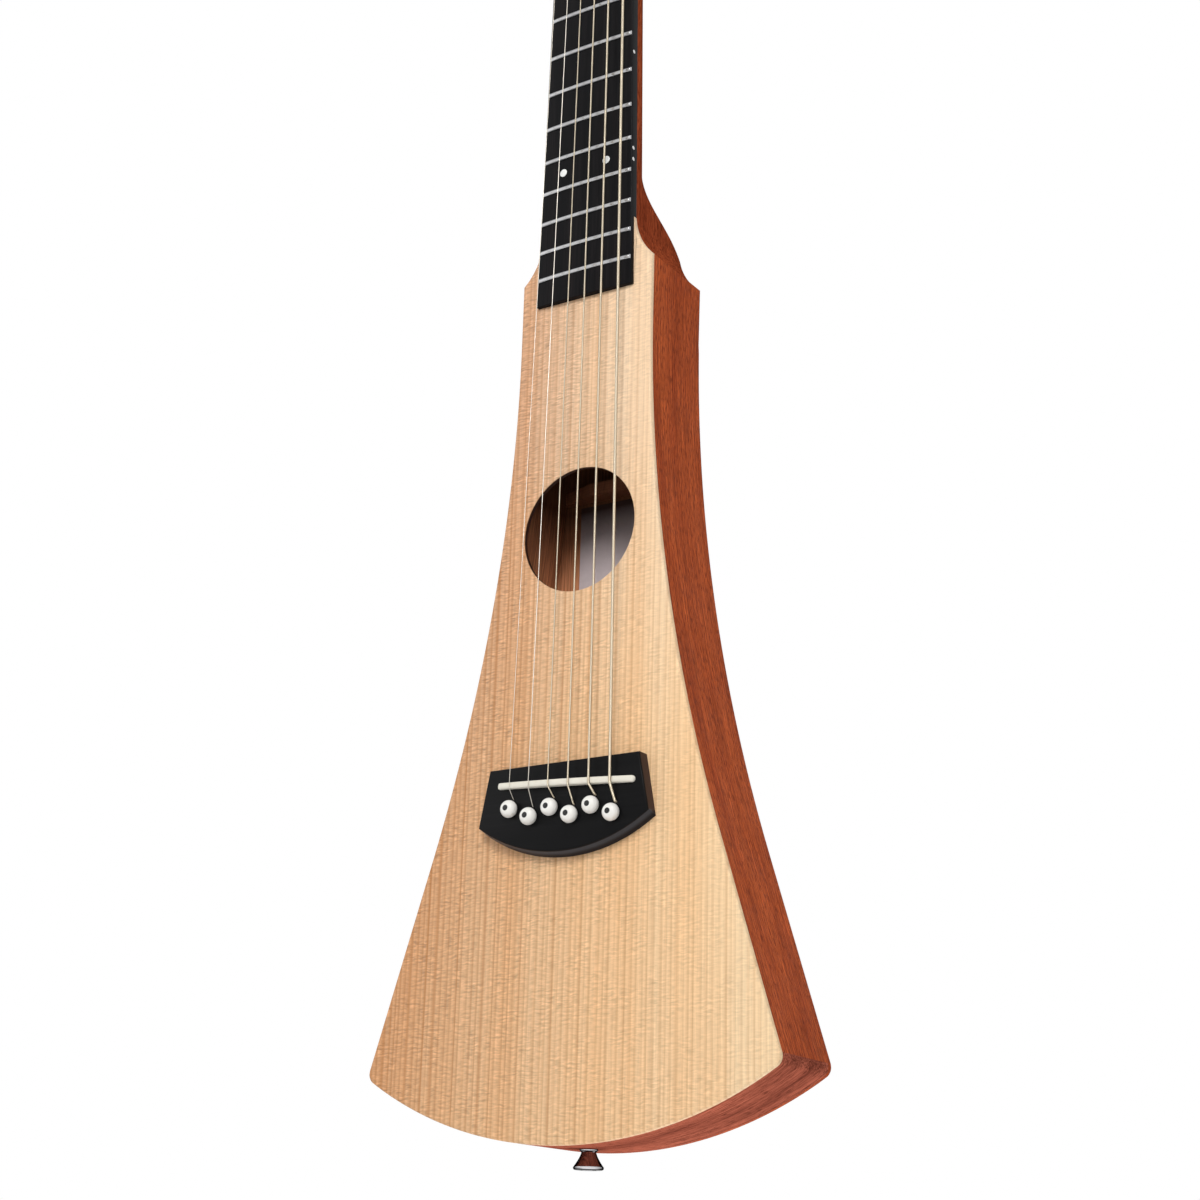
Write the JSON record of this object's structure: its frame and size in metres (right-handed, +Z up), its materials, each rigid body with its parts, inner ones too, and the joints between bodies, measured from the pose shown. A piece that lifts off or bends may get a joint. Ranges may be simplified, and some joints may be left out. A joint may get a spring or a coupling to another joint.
{
  "type": "travel guitar",
  "caption": "Slim flared travel guitar for a left-handed player, spruce top, mahogany body and long neck, black bridge and fingerboard, strings on geared tuners.",
  "frame": {"origin": "on the centre line at the nut's lower face, level with the soundboard's outer face, where the neck is held below the headstock", "axes": "+Z up the neck to the headstock, +Y from the soundboard to the back, +X to the bass strings, which lie at the viewer's right"},
  "size_m": [0.2142, 0.0592, 0.9029],
  "materials": {
    "spruce": "clear satin lacquer over light, fine vertical grain",
    "mahogany": "red-brown open grain under a clear satin lacquer",
    "brace_spruce": "raw sanded wood",
    "maple": "raw sanded wood",
    "black_laminate": "black paper laminate, rubbed to a low sheen",
    "bone": "polished ivory-coloured plastic",
    "nickel": "polished nickel silver",
    "chrome": "bright plated",
    "steel": "bare bright steel",
    "bronze": "wound bronze wire"
  },
  "bodies": {
    "guitar": {"soundboard": "spruce", "back_plate": "mahogany", "side_bass": "mahogany", "side_treble": "mahogany", "tail_block": "mahogany", "top_brace_upper": "brace_spruce", "top_brace_lower": "brace_spruce", "back_brace_upper": "brace_spruce", "back_brace_lower": "brace_spruce", "bridge_plate": "maple", "neck": "mahogany", "truss_rod": "steel", "truss_nut": "steel", "fingerboard": "black_laminate", "nut": "bone", "fret_1": "nickel", "fret_2": "nickel", "fret_3": "nickel", "fret_4": "nickel", "fret_5": "nickel", "fret_6": "nickel", "fret_7": "nickel", "fret_8": "nickel", "fret_9": "nickel", "fret_10": "nickel", "fret_11": "nickel", "fret_12": "nickel", "fret_13": "nickel", "fret_14": "nickel", "fret_15": "nickel", "bridge": "black_laminate", "saddle": "bone", "strap_button": "chrome", "strap_screw": "steel", "string_1": "steel", "string_2": "steel", "string_3": "bronze", "string_4": "bronze", "string_5": "bronze", "string_6": "bronze", "bridge_pin_1": "bone", "bridge_pin_2": "bone", "bridge_pin_3": "bone", "bridge_pin_4": "bone", "bridge_pin_5": "bone", "bridge_pin_6": "bone", "tuner_plate_bass": "chrome", "tuner_plate_treble": "chrome"},
    "knob_1": {"tuner_knob_1": "chrome"},
    "post_1": {"tuner_post_1": "chrome"},
    "knob_2": {"tuner_knob_2": "chrome"},
    "post_2": {"tuner_post_2": "chrome"},
    "knob_3": {"tuner_knob_3": "chrome"},
    "post_3": {"tuner_post_3": "chrome"},
    "knob_4": {"tuner_knob_4": "chrome"},
    "post_4": {"tuner_post_4": "chrome"},
    "knob_5": {"tuner_knob_5": "chrome"},
    "post_5": {"tuner_post_5": "chrome"},
    "knob_6": {"tuner_knob_6": "chrome"},
    "post_6": {"tuner_post_6": "chrome"}
  },
  "joints": [
    {"name": "knob_1_turn", "type": "hinge", "parent": "guitar", "child": "knob_1", "pos_m": [-0.019, 0.02806, 0.03289], "axis": [1, 0, 0], "continuous": true},
    {"name": "post_1_turn", "type": "hinge", "parent": "guitar", "child": "post_1", "pos_m": [-0.019, 0.00744, 0.02848], "axis": [0, 0.9781, -0.2079], "continuous": true},
    {"name": "knob_2_turn", "type": "hinge", "parent": "guitar", "child": "knob_2", "pos_m": [-0.019, 0.03492, 0.06516], "axis": [1, 0, 0], "continuous": true},
    {"name": "post_2_turn", "type": "hinge", "parent": "guitar", "child": "post_2", "pos_m": [-0.019, 0.0143, 0.06075], "axis": [0, 0.9781, -0.2079], "continuous": true},
    {"name": "knob_3_turn", "type": "hinge", "parent": "guitar", "child": "knob_3", "pos_m": [-0.019, 0.04178, 0.09744], "axis": [1, 0, 0], "continuous": true},
    {"name": "post_3_turn", "type": "hinge", "parent": "guitar", "child": "post_3", "pos_m": [-0.019, 0.02116, 0.09303], "axis": [0, 0.9781, -0.2079], "continuous": true},
    {"name": "knob_4_turn", "type": "hinge", "parent": "guitar", "child": "knob_4", "pos_m": [0.019, 0.04178, 0.09744], "axis": [1, 0, 0], "continuous": true},
    {"name": "post_4_turn", "type": "hinge", "parent": "guitar", "child": "post_4", "pos_m": [0.019, 0.02116, 0.09303], "axis": [0, 0.9781, -0.2079], "continuous": true},
    {"name": "knob_5_turn", "type": "hinge", "parent": "guitar", "child": "knob_5", "pos_m": [0.019, 0.03492, 0.06516], "axis": [1, 0, 0], "continuous": true},
    {"name": "post_5_turn", "type": "hinge", "parent": "guitar", "child": "post_5", "pos_m": [0.019, 0.0143, 0.06075], "axis": [0, 0.9781, -0.2079], "continuous": true},
    {"name": "knob_6_turn", "type": "hinge", "parent": "guitar", "child": "knob_6", "pos_m": [0.019, 0.02806, 0.03289], "axis": [1, 0, 0], "continuous": true},
    {"name": "post_6_turn", "type": "hinge", "parent": "guitar", "child": "post_6", "pos_m": [0.019, 0.00744, 0.02848], "axis": [0, 0.9781, -0.2079], "continuous": true}
  ],
  "couplings": [
    {"joint": "post_1_turn", "follows": "knob_1_turn", "ratio": -0.071429},
    {"joint": "post_2_turn", "follows": "knob_2_turn", "ratio": -0.071429},
    {"joint": "post_3_turn", "follows": "knob_3_turn", "ratio": -0.071429},
    {"joint": "post_4_turn", "follows": "knob_4_turn", "ratio": -0.071429},
    {"joint": "post_5_turn", "follows": "knob_5_turn", "ratio": -0.071429},
    {"joint": "post_6_turn", "follows": "knob_6_turn", "ratio": -0.071429}
  ]
}
